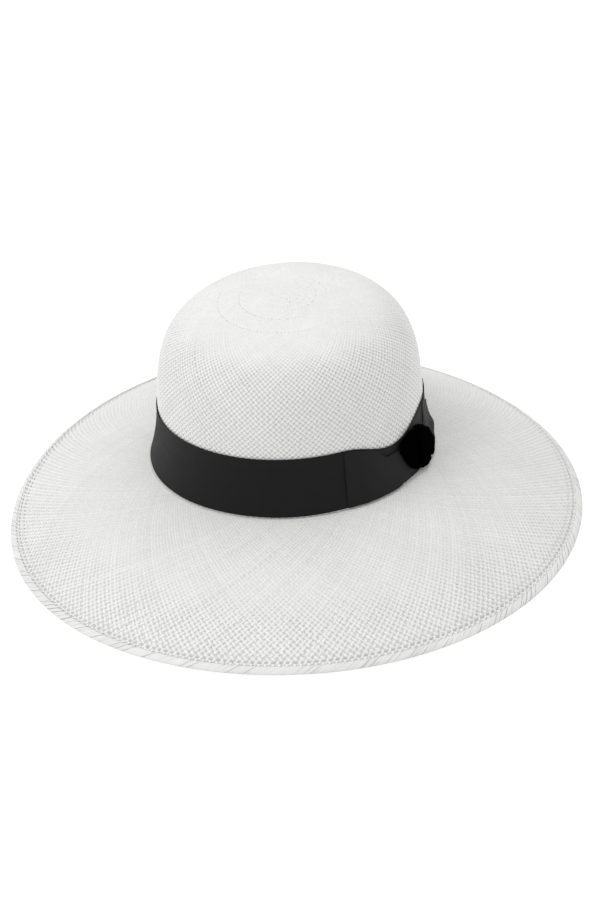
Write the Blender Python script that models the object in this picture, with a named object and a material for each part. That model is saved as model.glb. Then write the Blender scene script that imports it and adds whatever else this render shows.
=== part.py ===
"""Panama hat: a woven straw body with a grosgrain band and bow, a leather
sweatband and the small trim inside.

Frame: metres, +Z up, origin at the centre of the footprint at table height.
-Y is the front of the hat, +Y the rear, +X the wearer's left (bow side).
Angles run round the hat from +X towards +Y.
"""
import bpy
import bmesh
from math import sin, cos, exp, pi, radians, degrees
from mathutils import Vector

MM = 0.001

# ---------------------------------------------------------------- dimensions
SEGS = 60                 # facets round every ring, 6 degrees each

RIM_A, RIM_B = 198.0, 203.8   # half width (X) and half length (Y) of the brim
REST_Z = 1.3              # middle of the rim's edge above the table
BREAK_H = 46.8            # brim break above the rim's edge
BAND_H = 39.8             # ribbon width
CROWN_H = 112.8           # brim break to the top of the crown
R_TOP = 94.0              # mean radius of the band's outer face, upper edge
R_BOT = 100.9             # the same, lower edge
FLARE = 1.72              # how the radius opens towards the break
OVAL = 1.10               # head oval, length over width
P_SIDE, P_TOP = 3.44, 3.37    # superellipse exponents of the crown's profile
TAPER = 4.1               # crown gets this much narrower to its top
LEAN_X, LEAN_Y = -0.5, 0.5    # crown's top leans this much
BASE_X, BASE_Y = -0.6, -0.7   # and its base this much
# height of the brim's edge off the table: mean, then the cosine and sine
# parts of one, two and three waves round
WAVE = (2.74, (-1.98, 1.20), (-1.72, -2.55), (0.47, 0.88))
# the ribbon's upper edge is drawn down beside the bow
DIP, DIP_DEG, DIP_FRONT, DIP_REAR = 9.4, -24.0, 26.0, 28.0
STRAW_T = 1.2             # straw body
LIP_W, LIP_T = 5.2, 2.2   # back-woven rim

BAND_T = 0.5              # ribbon thickness
GAP = 0.3                 # clearance between touching pieces

SWEAT_GAP = 1.3           # sweatband stands this far inside the straw
SWEAT_T = 1.2
SWEAT_LO, SWEAT_HI = 1.6, 36.5    # above the break
SEAM_HALF = 0.5           # half of the butt seam's gap, degrees

REED_R = 0.95
TAPE_T = 0.4

BOW_MID = -6.3            # bow's centre, degrees
SHORT_0, SHORT_1 = -22.4, 8.8     # short loops' ends, degrees
KNOT_MID, KNOT_HALF = -5.8, 4.4   # knot's centre and half width, degrees
LABEL_HINGE_DEG = 101.0   # care label's sewn edge, degrees
LABEL_SPAN = (11.0, 33.0)  # its lower and upper edge above the break


# ------------------------------------------------------------ shape functions
def semi_axes(r):
    """Half axes (X, Y) of the head oval with mean radius r."""
    a = 2.0 * r / (1.0 + OVAL)
    return a, a * OVAL


def tilt(t):
    """Height of the break line round the hat, relative to its mean."""
    return 0.33 * cos(t) - 6.09 * sin(t) - 0.13 * cos(2.0 * t)


def rim_lift(t):
    """Height of the brim's edge off the table. It rests on two arcs, on the
    left towards the rear and on the right towards the front, and rises
    between them."""
    w = WAVE[0]
    for k in (1, 2, 3):
        w += WAVE[k][0] * cos(k * t) + WAVE[k][1] * sin(k * t)
    return max(w, 0.0)


def ribbon_top(t):
    """Height of the ribbon's upper edge above the break."""
    x = (degrees(t) + 180.0) % 360.0 - 180.0 - DIP_DEG
    x /= DIP_FRONT if x < 0.0 else DIP_REAR
    dip = cos(pi / 2.0 * x) ** 2 if abs(x) < 1.0 else 0.0
    return BAND_H - DIP * dip


def wall(t, v, d=0.0):
    """Point on the crown's side. v is the height above the break, d the
    distance out from the band's outer face."""
    k = max(1.0 - v / BAND_H, 0.0) ** FLARE
    a, b = semi_axes(R_TOP + (R_BOT - R_TOP) * k)
    return Vector(((a + d) * cos(t) + BASE_X * k,
                   (b + d) * sin(t) + BASE_Y * k,
                   REST_Z + BREAK_H + v + tilt(t)))


def crown(t, ang):
    """Point on the straw's outer face above the band, ang 0 at the band's
    upper edge and pi/2 at the apex."""
    rr = max(cos(ang), 0.0) ** (2.0 / P_SIDE)
    zz = max(sin(ang), 0.0) ** (2.0 / P_TOP)
    a, b = semi_axes(R_TOP - BAND_T - GAP)
    k = rr * (1.0 - TAPER / 94.0 * zz)
    z0 = REST_Z + BREAK_H + BAND_H
    z1 = REST_Z + BREAK_H + CROWN_H
    return Vector((a * k * cos(t) + LEAN_X * zz,
                   b * k * sin(t) + LEAN_Y * zz,
                   z0 + (z1 - z0) * zz + tilt(t) * (1.0 - zz)))


def brim(t, q):
    """Point on the brim's top face, q 0 at the break and 1 at the rim."""
    a0, b0 = semi_axes(R_BOT)
    a = a0 + (RIM_A - a0) * q
    b = b0 + (RIM_B - b0) * q
    drop = BREAK_H * (0.55 * q + 0.45 * q ** 2.2)
    z = REST_Z + BREAK_H - drop + q * q * rim_lift(t) + (1.0 - q) * tilt(t)
    return Vector((a * cos(t) + BASE_X * (1.0 - q),
                   b * sin(t) + BASE_Y * (1.0 - q), z))


def crown_angles(n):
    """n angles that share the crown's profile into even lengths, band edge
    to just short of the apex."""
    steps = 400
    pts = [crown(-pi / 2.0, i / steps * pi / 2.0) for i in range(steps + 1)]
    run = [0.0]
    for p, q in zip(pts, pts[1:]):
        run.append(run[-1] + (q - p).length)
    out, k = [], 0
    for j in range(1, n):
        want = run[-1] * j / n
        while run[k + 1] < want:
            k += 1
        f = (want - run[k]) / (run[k + 1] - run[k])
        out.append((k + f) / steps * pi / 2.0)
    return out


# ---------------------------------------------------------------- mesh makers
def fresh_scene():
    for ob in list(bpy.data.objects):
        bpy.data.objects.remove(ob, do_unlink=True)


def material(name, colour, rough, metallic=0.0):
    mat = bpy.data.materials.new(name)
    mat.use_nodes = True
    bsdf = mat.node_tree.nodes["Principled BSDF"]
    bsdf.inputs["Base Color"].default_value = (*colour, 1.0)
    bsdf.inputs["Roughness"].default_value = rough
    bsdf.inputs["Metallic"].default_value = metallic
    return mat


def add_object(name, bm, mat, sharp=40.0, parent=None, origin=None):
    """Object from a bmesh in millimetres; origin in millimetres too."""
    origin = Vector(origin) if origin is not None else Vector((0, 0, 0))
    bmesh.ops.translate(bm, verts=bm.verts, vec=-origin)
    bmesh.ops.scale(bm, verts=bm.verts, vec=(MM, MM, MM))
    mesh = bpy.data.meshes.new(name)
    bm.to_mesh(mesh)
    bm.free()
    mesh.shade_smooth()
    mesh.set_sharp_from_angle(angle=radians(sharp))
    mesh.materials.append(mat)
    ob = bpy.data.objects.new(name, mesh)
    bpy.context.scene.collection.objects.link(ob)
    ob.location = origin * MM
    if parent is not None:
        ob.parent = parent
        ob.location = (0.0, 0.0, 0.0)
    return ob


def loft(rows, wrap_cols=True, wrap_rows=False):
    """bmesh of the grid rows[i][j]. Rows run down the outer face, columns
    run round the hat, so faces point out."""
    bm = bmesh.new()
    grid = [[bm.verts.new(p) for p in row] for row in rows]
    nr, nc = len(grid), len(grid[0])
    for i in range(nr if wrap_rows else nr - 1):
        for j in range(nc if wrap_cols else nc - 1):
            i2, j2 = (i + 1) % nr, (j + 1) % nc
            bm.faces.new((grid[i][j], grid[i2][j], grid[i2][j2], grid[i][j2]))
    return bm, grid


def fan(bm, ring, tip, flip):
    """Closes a ring of vertices with a fan to a point."""
    v = bm.verts.new(tip)
    n = len(ring)
    for j in range(n):
        a, b = ring[j], ring[(j + 1) % n]
        bm.faces.new((v, b, a) if flip else (v, a, b))


def ring_angles(n=SEGS):
    return [2.0 * pi * j / n for j in range(n)]


def hoop(name, section, mat, sharp=40.0):
    """Closed ring whose section(t) gives the points of its cross-section."""
    angles = ring_angles()
    cols = [section(t) for t in angles]
    rows = [[cols[j][i] for j in range(len(angles))]
            for i in range(len(cols[0]))]
    bm, _ = loft(rows, wrap_cols=True, wrap_rows=True)
    bmesh.ops.recalc_face_normals(bm, faces=bm.faces)
    return add_object(name, bm, mat, sharp)


def patch(name, t0, t1, nt, nv, span, inner, outer, mat, bevel=0.0,
          parent=None, origin=None):
    """Closed block lying on the crown's side between angles t0 and t1
    (degrees). span(f) gives its lower and upper edge, inner(f, g) and
    outer(f, g) its two faces, f running 0..1 round and g 0..1 up."""
    bm = bmesh.new()

    def sheet(face):
        grid = []
        for i in range(nt + 1):
            f = i / nt
            t = radians(t0 + (t1 - t0) * f)
            lo, hi = span(f)
            grid.append([bm.verts.new(wall(t, lo + (hi - lo) * g / nv,
                                           face(f, g / nv)))
                         for g in range(nv + 1)])
        return grid

    a, b = sheet(inner), sheet(outer)
    for i in range(nt):
        for j in range(nv):
            bm.faces.new((b[i][j], b[i + 1][j], b[i + 1][j + 1], b[i][j + 1]))
            bm.faces.new((a[i][j + 1], a[i + 1][j + 1], a[i + 1][j], a[i][j]))
    edge_a = ([a[i][0] for i in range(nt)] + [a[nt][j] for j in range(nv)]
              + [a[i][nv] for i in range(nt, 0, -1)]
              + [a[0][j] for j in range(nv, 0, -1)])
    edge_b = ([b[i][0] for i in range(nt)] + [b[nt][j] for j in range(nv)]
              + [b[i][nv] for i in range(nt, 0, -1)]
              + [b[0][j] for j in range(nv, 0, -1)])
    n = len(edge_a)
    for k in range(n):
        m = (k + 1) % n
        bm.faces.new((edge_a[k], edge_a[m], edge_b[m], edge_b[k]))
    bmesh.ops.recalc_face_normals(bm, faces=bm.faces)
    ob = add_object(name, bm, mat, 50.0, parent, origin)
    if bevel > 0.0:
        mod = ob.modifiers.new("soft_edges", "BEVEL")
        mod.width = bevel * MM
        mod.segments = 1
        mod.limit_method = "ANGLE"
        mod.angle_limit = radians(50.0)
    return ob


# ---------------------------------------------------------------- the pieces
def make_straw_body(mat):
    """Crown, brim and rim in one closed shell. The rim's underside has a
    narrow level face where it meets the table."""
    angles = ring_angles()
    up = -(BAND_T + GAP)
    drop_in = STRAW_T

    outer = []
    for ang in reversed(crown_angles(8)):
        outer.append([crown(t, ang) for t in angles])
    for v in (BAND_H, 26.0, 13.0, 3.0):
        outer.append([wall(t, v, up) for t in angles])
    # short turn from the crown's side to the brim
    outer.append([wall(t, 0.6, up + 0.1) for t in angles])
    a0, _ = semi_axes(R_BOT)
    lip = 1.0 - LIP_W / (RIM_A - a0)
    for q in (0.035, 0.2, 0.4, 0.6, 0.8, lip):
        outer.append([brim(t, q) for t in angles])

    # inner face: the outer one moved in along its normals
    n_row, n = len(outer), SEGS
    inner = []
    for i, row in enumerate(outer):
        lo, hi = outer[max(i - 1, 0)], outer[min(i + 1, n_row - 1)]
        new = []
        for j in range(n):
            du = row[(j + 1) % n] - row[j - 1]
            dv = lo[j] - hi[j]
            nrm = du.cross(dv).normalized()
            new.append(row[j] - nrm * drop_in)
        inner.append(new)

    # back-woven rim: thicker, round at its edge, level underneath
    rim = []
    for dx, dz in ((-LIP_W + 0.9, 3.9), (-1.2, 1.75), (0.0, -0.1)):
        rim.append([Vector(((RIM_A + dx) * cos(t), (RIM_B + dx) * sin(t),
                            REST_Z + dz + rim_lift(t))) for t in angles])
    for dx in (-0.5, -2.3):
        rim.append([Vector(((RIM_A + dx) * cos(t), (RIM_B + dx) * sin(t),
                            rim_lift(t))) for t in angles])
    rim.append([Vector(((RIM_A - LIP_W + 0.4) * cos(t),
                        (RIM_B - LIP_W + 0.4) * sin(t),
                        REST_Z + 1.1 + rim_lift(t))) for t in angles])

    rows = outer + rim + list(reversed(inner))
    bm, grid = loft(rows)
    z1 = REST_Z + BREAK_H + CROWN_H
    fan(bm, grid[0], (LEAN_X, LEAN_Y, z1), flip=False)
    fan(bm, grid[-1], (LEAN_X, LEAN_Y, z1 - STRAW_T), flip=True)
    bmesh.ops.recalc_face_normals(bm, faces=bm.faces)
    return add_object("straw_body", bm, mat, 35.0)


def make_hat_band(mat):
    def section(t):
        top = ribbon_top(t)
        vs = (1.2, 3.0, 13.0, 13.0 + (top - 13.0) * 0.5, top)
        return ([wall(t, v, 0.0) for v in reversed(vs)]
                + [wall(t, v, -BAND_T) for v in vs])
    return hoop("hat_band", section, mat)


def open_hoop(name, section, mat, centre_deg, half_gap_deg, n=SEGS):
    """Ring with a narrow butt joint, centred on an angle."""
    t0 = radians(centre_deg + half_gap_deg)
    t1 = radians(centre_deg + 360.0 - half_gap_deg)
    inner_angles = [radians(centre_deg) + 2.0 * pi * j / n
                    for j in range(1, n)]
    angles = [t0] + inner_angles + [t1]
    cols = [section(t) for t in angles]
    rows = [[cols[j][i] for j in range(len(angles))]
            for i in range(len(cols[0]))]
    bm, grid = loft(rows, wrap_cols=False, wrap_rows=True)
    bm.faces.new([row[0] for row in grid])
    bm.faces.new([row[-1] for row in reversed(grid)])
    bmesh.ops.recalc_face_normals(bm, faces=bm.faces)
    return add_object(name, bm, mat)


SWEAT_OUT = -(BAND_T + GAP + STRAW_T + SWEAT_GAP)     # its outer face
SWEAT_IN = SWEAT_OUT - SWEAT_T                        # its inner face
VS_SWEAT = (SWEAT_LO, 8.0, 20.0, SWEAT_HI)


def make_sweatband(mat):
    def section(t):
        return ([wall(t, v, SWEAT_OUT) for v in reversed(VS_SWEAT)]
                + [wall(t, v, SWEAT_IN) for v in VS_SWEAT])
    return open_hoop("sweatband", section, mat, 90.0, SEAM_HALF)


REED_V = -0.6             # reed's centre, relative to the break
REED_D = SWEAT_OUT - 0.6


def make_reed(mat):
    def section(t):
        c = wall(t, 0.0, REED_D)
        out = Vector((cos(t), sin(t), 0.0))
        pts = []
        for k in range(6):
            w = 2.0 * pi * k / 6.0
            pts.append(c + out * (REED_R * cos(w))
                       + Vector((0, 0, REED_V + REED_R * sin(w))))
        return pts
    return hoop("sweatband_reed", section, mat)


def make_reed_tape(mat):
    """Tape folded up round the reed, open at the top where the sweatband's
    lower edge is sewn on."""
    r_in = REED_R + GAP
    r_out = r_in + TAPE_T

    def section(t):
        c = wall(t, 0.0, REED_D)
        out = Vector((cos(t), sin(t), 0.0))
        arc_out = [radians(w) for w in (35.0, -20.0, -90.0, -160.0, -215.0)]
        pts = [c + out * (r_out * cos(w))
               + Vector((0, 0, REED_V + r_out * sin(w))) for w in arc_out]
        pts += [c + out * (r_in * cos(w))
                + Vector((0, 0, REED_V + r_in * sin(w)))
                for w in reversed(arc_out)]
        return pts
    return hoop("reed_tape", section, mat)


def smooth(x):
    x = min(max(x, 0.0), 1.0)
    return x * x * (3.0 - 2.0 * x)


def bow_outline(t):
    """Lower and upper edge of the black bow at t degrees. It slants from the
    ribbon's upper edge in front down to its lower edge behind."""
    f = min(max((t - SHORT_0) / (SHORT_1 - SHORT_0), 0.0), 1.0)
    x = (f - 0.42) / (0.42 if f < 0.42 else 0.58)
    half = 15.0 * max(1.0 - abs(x) ** 2.4, 0.0) ** 0.75
    mid = (21.8 - 14.3 * f + 4.9 * max(1.0 - f / 0.2, 0.0) ** 2
           + 1.5 * sin(pi * f))
    return max(mid - half, 1.2), mid + half


def make_bow(mat_ribbon, mat_black):
    # long flat loops: one folded length of ribbon, drawn in at the knot.
    # The front loop is twice as long as the rear one and as wide as the
    # ribbon at its end; the rear one is narrower and swells at its fold.
    t0, t1 = -50.0, 16.0

    def off(f):
        return t0 + (t1 - t0) * f - BOW_MID

    def span(f):
        x = off(f)
        full = ribbon_top(radians(BOW_MID + x)) - 0.6
        lo = 6.5 - 5.2 * smooth((abs(x) - 6.0) / 14.0)
        k = smooth((-x - 22.5) / 6.5)
        near = (25.0 + (full - 25.0) * smooth((x + BOW_MID - 1.2) / 3.0)
                - 8.0 * smooth((x + BOW_MID - 7.0) / 6.0))
        return lo, near + (full - near) * k

    def face(f, g):
        x = off(f)
        end = max((-x - 41.0) / 2.7, 0.0)
        lo, hi = span(f)
        dv = lo + (hi - lo) * g - 13.5
        swell = (2.0 * smooth((x + BOW_MID - 9.6) / 4.0)
                 * exp(-(dv / (5.2 if dv > 0.0 else 6.5)) ** 2))
        flat = (0.4 * smooth((x + BOW_MID - 5.0) / 4.0)
                * smooth((g - 0.6) / 0.4))
        return 1.3 - 0.4 * end * end + swell - flat

    patch("bow_long_loops", t0, t1, 22, 4, span, lambda f, g: GAP, face,
          mat_ribbon, 0.2)

    # short black loops on top, flattened under the knot
    def tuck(t):
        return 1.0 - smooth((abs(t - KNOT_MID) - 5.0) / 3.5)

    def s_at(f):
        return SHORT_0 + (SHORT_1 - SHORT_0) * f

    def s_span(f):
        f = min(max(f, 0.02), 0.98)
        lo, hi = bow_outline(s_at(f))
        k = 2.2 * tuck(s_at(f))
        return max(lo + k, 1.9), hi - k

    def s_face(f, g):
        return (3.4 - 1.0 * tuck(s_at(f)) - 0.35 * (2.0 * g - 1.0) ** 2)

    patch("bow_short_loops", SHORT_0, SHORT_1, 16, 4, s_span,
          lambda f, g: 1.3 + GAP, s_face, mat_black, 0.15)

    # knot: a wrap over the loops that reaches the band above and below them
    nk = 4
    bm = bmesh.new()
    cols = []
    for i in range(nk + 1):
        t = KNOT_MID + KNOT_HALF * (2.0 * i / nk - 1.0)
        lo, hi = bow_outline(t)
        c, h = (lo + hi) / 2.0, (hi - lo) / 2.0
        bulge = 0.5 * sin(pi * i / nk)
        half = [(h, 0.35), (h, 3.0), (h - 1.2, 3.7), (0.0, 3.9)]
        back = [(0.0, 2.85), (h - 1.9, 2.75), (h - 1.0, 2.4), (h - 1.0, 0.35)]
        section = ([(c + p, d) for p, d in half]
                   + [(c - p, d) for p, d in reversed(half[:-1])]
                   + [(c - p, d) for p, d in reversed(back)]
                   + [(c + p, d) for p, d in back[1:]])
        cols.append([bm.verts.new(wall(radians(t), v,
                                       d + (bulge if d > 2.9 else 0.0)))
                     for v, d in section])
    m = len(cols[0])
    for i in range(nk):
        for k in range(m):
            bm.faces.new((cols[i][k], cols[i + 1][k],
                          cols[i + 1][(k + 1) % m], cols[i][(k + 1) % m]))
    bm.faces.new(cols[0])
    bm.faces.new(list(reversed(cols[nk])))
    bmesh.ops.recalc_face_normals(bm, faces=bm.faces)
    add_object("bow_knot", bm, mat_black, 50.0)


def make_sweat_trim(mats):
    # backing strip behind the butt seam
    patch("sweatband_seam_tape", 90.0 - 3.5, 90.0 + 3.5, 2, 3,
          lambda f: (4.0, 35.5),
          lambda f, g: SWEAT_OUT + 0.35, lambda f, g: SWEAT_OUT + 0.9,
          mats["tape"])

    # little ribbon bow at the rear seam, on the sweatband's inner face
    def bow_span(f):
        d = abs(2.0 * f - 1.0)
        h = 1.9 + 3.4 * d
        return 9.0 - h, 9.0 + h

    def bow_in(f, g):
        d = abs(2.0 * f - 1.0)
        return SWEAT_IN - GAP - 1.1 - 0.8 * (1.0 - d) ** 2

    patch("sweatband_back_bow", 90.0 - 8.0, 90.0 + 8.0, 8, 2, bow_span,
          bow_in, lambda f, g: SWEAT_IN - GAP, mats["bow"])

    # blank size tab beside the seam
    patch("size_label", 76.0 - 5.5, 76.0 + 5.5, 4, 2, lambda f: (18.0, 30.0),
          lambda f, g: SWEAT_IN - GAP - 0.4, lambda f, g: SWEAT_IN - GAP,
          mats["label"])

    # blank care label, held by its edge nearest the seam: it swings on that
    # edge, which leans with the crown's side. The leaf is straight from its
    # lower to its upper edge, so it stands a little off the curved sweatband.
    hinge_t = radians(LABEL_HINGE_DEG)
    lo, hi = LABEL_SPAN
    sewn = [wall(hinge_t, v, SWEAT_IN - GAP - 0.75) for v in (lo, hi)]
    pivot = (sewn[0] + sewn[1]) / 2.0
    pivot_obj = bpy.data.objects.new("care_label_pivot", None)
    pivot_obj.empty_display_size = 0.01
    pivot_obj.location = pivot * MM
    bpy.context.scene.collection.objects.link(pivot_obj)
    patch("care_label", LABEL_HINGE_DEG, LABEL_HINGE_DEG + 15.0, 5, 1,
          lambda f: LABEL_SPAN,
          lambda f, g: SWEAT_IN - GAP - 0.95 - 0.35 * f,
          lambda f, g: SWEAT_IN - GAP - 0.55 - 0.35 * f,
          mats["care"], 0.0, pivot_obj, pivot)


def main():
    fresh_scene()
    straw = material("straw", (0.80, 0.79, 0.76), 0.62)
    ribbon = material("charcoal_grosgrain", (0.022, 0.022, 0.024), 0.62)
    black = material("black_grosgrain", (0.006, 0.006, 0.007), 0.7)
    leather = material("sweatband_leather", (0.70, 0.66, 0.58), 0.5)
    cord = material("reed_cord", (0.75, 0.73, 0.68), 0.5)
    tape = material("reed_tape", (0.72, 0.69, 0.62), 0.8)
    seam = material("seam_tape", (0.72, 0.69, 0.62), 0.8)
    satin = material("satin_bow", (0.012, 0.012, 0.013), 0.35)
    label = material("label_cloth", (0.80, 0.79, 0.76), 0.75)
    care = material("care_cloth", (0.82, 0.82, 0.80), 0.8)

    make_straw_body(straw)
    make_hat_band(ribbon)
    make_bow(ribbon, black)
    make_sweatband(leather)
    make_reed(cord)
    make_reed_tape(tape)
    make_sweat_trim({"tape": seam, "bow": satin, "label": label,
                     "care": care})


main()
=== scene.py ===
"""Panama hat: the looks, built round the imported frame.

The straw is woven from separate strands. Every strand is a closed sliver that
runs over and under the strands of the other family. Lengths are millimetres
until a mesh is written.
"""
import bpy
import numpy as np
from math import pi, radians, degrees
from mathutils import Matrix, Vector


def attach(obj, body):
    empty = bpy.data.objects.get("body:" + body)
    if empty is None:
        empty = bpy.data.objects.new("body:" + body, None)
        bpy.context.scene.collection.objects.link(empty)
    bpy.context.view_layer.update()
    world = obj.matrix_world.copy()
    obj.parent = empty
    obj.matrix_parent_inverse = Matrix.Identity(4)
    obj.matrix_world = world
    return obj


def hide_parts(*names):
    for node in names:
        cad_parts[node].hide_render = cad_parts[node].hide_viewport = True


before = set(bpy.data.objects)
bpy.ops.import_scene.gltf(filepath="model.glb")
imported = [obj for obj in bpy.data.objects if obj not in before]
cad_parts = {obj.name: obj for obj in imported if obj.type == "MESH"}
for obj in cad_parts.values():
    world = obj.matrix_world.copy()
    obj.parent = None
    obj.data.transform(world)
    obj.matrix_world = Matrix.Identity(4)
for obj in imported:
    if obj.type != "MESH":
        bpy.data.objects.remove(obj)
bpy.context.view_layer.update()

MM = 0.001
TAU = 2.0 * pi

# ------------------------------------------------- dimensions, as in the CAD
RIM_A, RIM_B = 198.0, 203.8
REST_Z = 1.3
BREAK_H, BAND_H, CROWN_H = 46.8, 39.8, 112.8
R_TOP, R_BOT, FLARE, OVAL = 94.0, 100.9, 1.72, 1.10
P_SIDE, P_TOP, TAPER = 3.44, 3.37, 4.1
LEAN_X, LEAN_Y = -0.5, 0.5
BASE_X, BASE_Y = -0.6, -0.7
WAVE = (2.74, (-1.98, 1.20), (-1.72, -2.55), (0.47, 0.88))
DIP, DIP_DEG, DIP_FRONT, DIP_REAR = 9.4, -24.0, 26.0, 28.0
STRAW_T, BAND_T, GAP = 1.2, 0.5, 0.3
SWEAT_OUT = -(BAND_T + GAP + STRAW_T + 1.3)
SWEAT_IN = SWEAT_OUT - 1.2
SWEAT_LO, SWEAT_HI = 1.6, 36.5
REED_V, REED_D, REED_R, TAPE_T = -0.6, SWEAT_OUT - 0.6, 0.95, 0.4
BOW_MID = -6.3
SHORT_0, SHORT_1 = -22.4, 8.8
KNOT_MID, KNOT_HALF = -5.8, 4.4
LABEL_HINGE, LABEL_SPAN = 101.0, (11.0, 33.0)

RNG = np.random.RandomState(11)


def semi_axes(r):
    a = 2.0 * r / (1.0 + OVAL)
    return a, a * OVAL


def tilt(t):
    return 0.33 * np.cos(t) - 6.09 * np.sin(t) - 0.13 * np.cos(2.0 * t)


def rim_lift(t):
    w = WAVE[0]
    for k in (1, 2, 3):
        w = w + WAVE[k][0] * np.cos(k * t) + WAVE[k][1] * np.sin(k * t)
    return np.maximum(w, 0.0)


def ribbon_top(t):
    x = (np.degrees(t) + 180.0) % 360.0 - 180.0 - DIP_DEG
    x = np.where(x < 0.0, x / DIP_FRONT, x / DIP_REAR)
    dip = np.where(np.abs(x) < 1.0, np.cos(pi / 2.0 * x) ** 2, 0.0)
    return BAND_H - DIP * dip


def xyz(x, y, z):
    return np.stack(np.broadcast_arrays(x, y, z), axis=-1).astype(float)


def wall(t, v, d=0.0):
    k = np.maximum(1.0 - v / BAND_H, 0.0) ** FLARE
    a, b = semi_axes(R_TOP + (R_BOT - R_TOP) * k)
    return xyz((a + d) * np.cos(t) + BASE_X * k,
               (b + d) * np.sin(t) + BASE_Y * k,
               REST_Z + BREAK_H + v + tilt(t))


def crown(t, ang):
    rr = np.maximum(np.cos(ang), 0.0) ** (2.0 / P_SIDE)
    zz = np.maximum(np.sin(ang), 0.0) ** (2.0 / P_TOP)
    a, b = semi_axes(R_TOP - BAND_T - GAP)
    k = rr * (1.0 - TAPER / 94.0 * zz)
    z0, z1 = REST_Z + BREAK_H + BAND_H, REST_Z + BREAK_H + CROWN_H
    return xyz(a * k * np.cos(t) + LEAN_X * zz, b * k * np.sin(t) + LEAN_Y * zz,
               z0 + (z1 - z0) * zz + tilt(t) * (1.0 - zz))


def brim(t, q):
    a0, b0 = semi_axes(R_BOT)
    a, b = a0 + (RIM_A - a0) * q, b0 + (RIM_B - b0) * q
    drop = BREAK_H * (0.55 * q + 0.45 * np.maximum(q, 0.0) ** 2.2)
    z = REST_Z + BREAK_H - drop + q * q * rim_lift(t) + (1.0 - q) * tilt(t)
    return xyz(a * np.cos(t) + BASE_X * (1.0 - q),
               b * np.sin(t) + BASE_Y * (1.0 - q), z)


def smooth(x):
    x = np.clip(x, 0.0, 1.0)
    return x * x * (3.0 - 2.0 * x)


# --------------------------------------------------------------- straw faces
class Face:
    """A face of revolution-like cloth, addressed by the angle t and the
    distance s down its meridian, with the straw's middle at depth MID."""
    MID = -STRAW_T / 2.0

    def __init__(self, point, par):
        self.point, self.par = point, par
        ts = np.linspace(0, TAU, 48, endpoint=False)[:, None]
        P = point(ts, par[None, :])
        c = P.mean(axis=0)
        r = np.hypot(P[..., 0] - c[:, 0], P[..., 1] - c[:, 1]).mean(axis=0)
        z = P[..., 2].mean(axis=0)
        self.r = np.maximum(r, 1e-3)
        self.s = np.concatenate([[0.0], np.cumsum(np.hypot(np.diff(r),
                                                           np.diff(z)))])
        inv = 1.0 / self.r
        self.phi = np.concatenate([[0.0], np.cumsum(
            np.diff(self.s) * 0.5 * (inv[1:] + inv[:-1]))])

    def at(self, t, s, d=0.0):
        t, s = np.broadcast_arrays(t, s)
        p = np.interp(s, self.s, self.par)
        P = self.point(t, p)
        h = 0.08
        s0 = np.maximum(s - h, 0.02)
        s1 = np.minimum(s0 + 2 * h, self.s[-1])
        ds = (self.point(t, np.interp(s1, self.s, self.par))
              - self.point(t, np.interp(s0, self.s, self.par)))
        e = 0.004
        dt = (self.point(t + e, p) - self.point(t - e, p))
        n = np.cross(ds, dt)
        n /= np.maximum(np.linalg.norm(n, axis=-1, keepdims=True), 1e-12)
        return P + n * (self.MID + np.asarray(d))[..., None]

    def s_at_r(self, r):
        return float(np.interp(r, self.r, self.s))

    def s_at_par(self, p):
        return float(np.interp(p, self.par, self.s))

    def r_at(self, s):
        return np.interp(s, self.s, self.r)


def crown_point(t, p):
    """p runs 0 at the apex to 1 at the ribbon's upper edge, then down the
    wall, 1 mm for each 0.01."""
    y = np.clip(1.0 - p, 0.0, 1.0)
    top = crown(t, pi / 2.0 * (1.0 - (1.0 - y) ** 3))
    v = BAND_H - np.maximum(p - 1.0, 0.0) * 100.0
    side = wall(t, v, -(BAND_T + GAP))
    return np.where((p > 1.0)[..., None] if np.ndim(p) else p > 1.0, side, top)


CROWN = Face(crown_point, np.concatenate([
    np.linspace(0.0008, 1.0, 2400), np.linspace(1.0, 1.398, 500)[1:]]))
BRIM = Face(brim, np.linspace(-0.01, 1.0, 1800))


# --------------------------------------------------------------- mesh makers
def make_mesh(name, verts, faces, mat, fields=None, sharp=None, body="hat"):
    me = bpy.data.meshes.new(name)
    me.from_pydata((np.asarray(verts) * MM).tolist(), [], faces)
    me.polygons.foreach_set("use_smooth", [True] * len(me.polygons))
    for key, val in (fields or {}).items():
        val = np.asarray(val, dtype=np.float32)
        if val.ndim == 1:
            at = me.attributes.new(key, "FLOAT", "POINT")
            at.data.foreach_set("value", val)
        else:
            at = me.attributes.new(key, "FLOAT_VECTOR", "POINT")
            at.data.foreach_set("vector", val.ravel())
    me.update()
    if sharp is not None:
        me.set_sharp_from_angle(angle=radians(sharp))
    me.materials.append(mat)
    ob = bpy.data.objects.new(name, me)
    bpy.context.scene.collection.objects.link(ob)
    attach(ob, body)
    return ob


def slivers(rails, tone, fib, closed=False):
    """Closed slivers. rails is (strands, steps, sides, 3); the sides go round
    the sliver. Returns vertices, faces and fields."""
    n, m, k, _ = rails.shape
    verts = rails.reshape(-1, 3)
    idx = np.arange(n * m * k).reshape(n, m, k)
    if closed:
        a, b = idx, np.roll(idx, -1, axis=1)
    else:
        a, b = idx[:, :-1], idx[:, 1:]
    a2, b2 = np.roll(a, -1, axis=2), np.roll(b, -1, axis=2)
    quads = np.stack([a, b, b2, a2], axis=-1).reshape(-1, 4).tolist()
    if not closed:
        quads += idx[:, 0, :].tolist()
        quads += idx[:, -1, ::-1].tolist()
    if tone.ndim == 1:
        tone = tone[:, None, None]
    tones = np.broadcast_to(tone, (n, m, k)).reshape(-1)
    return verts, quads, {"tone": tones, "fib": fib.reshape(-1, 3)}


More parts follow.
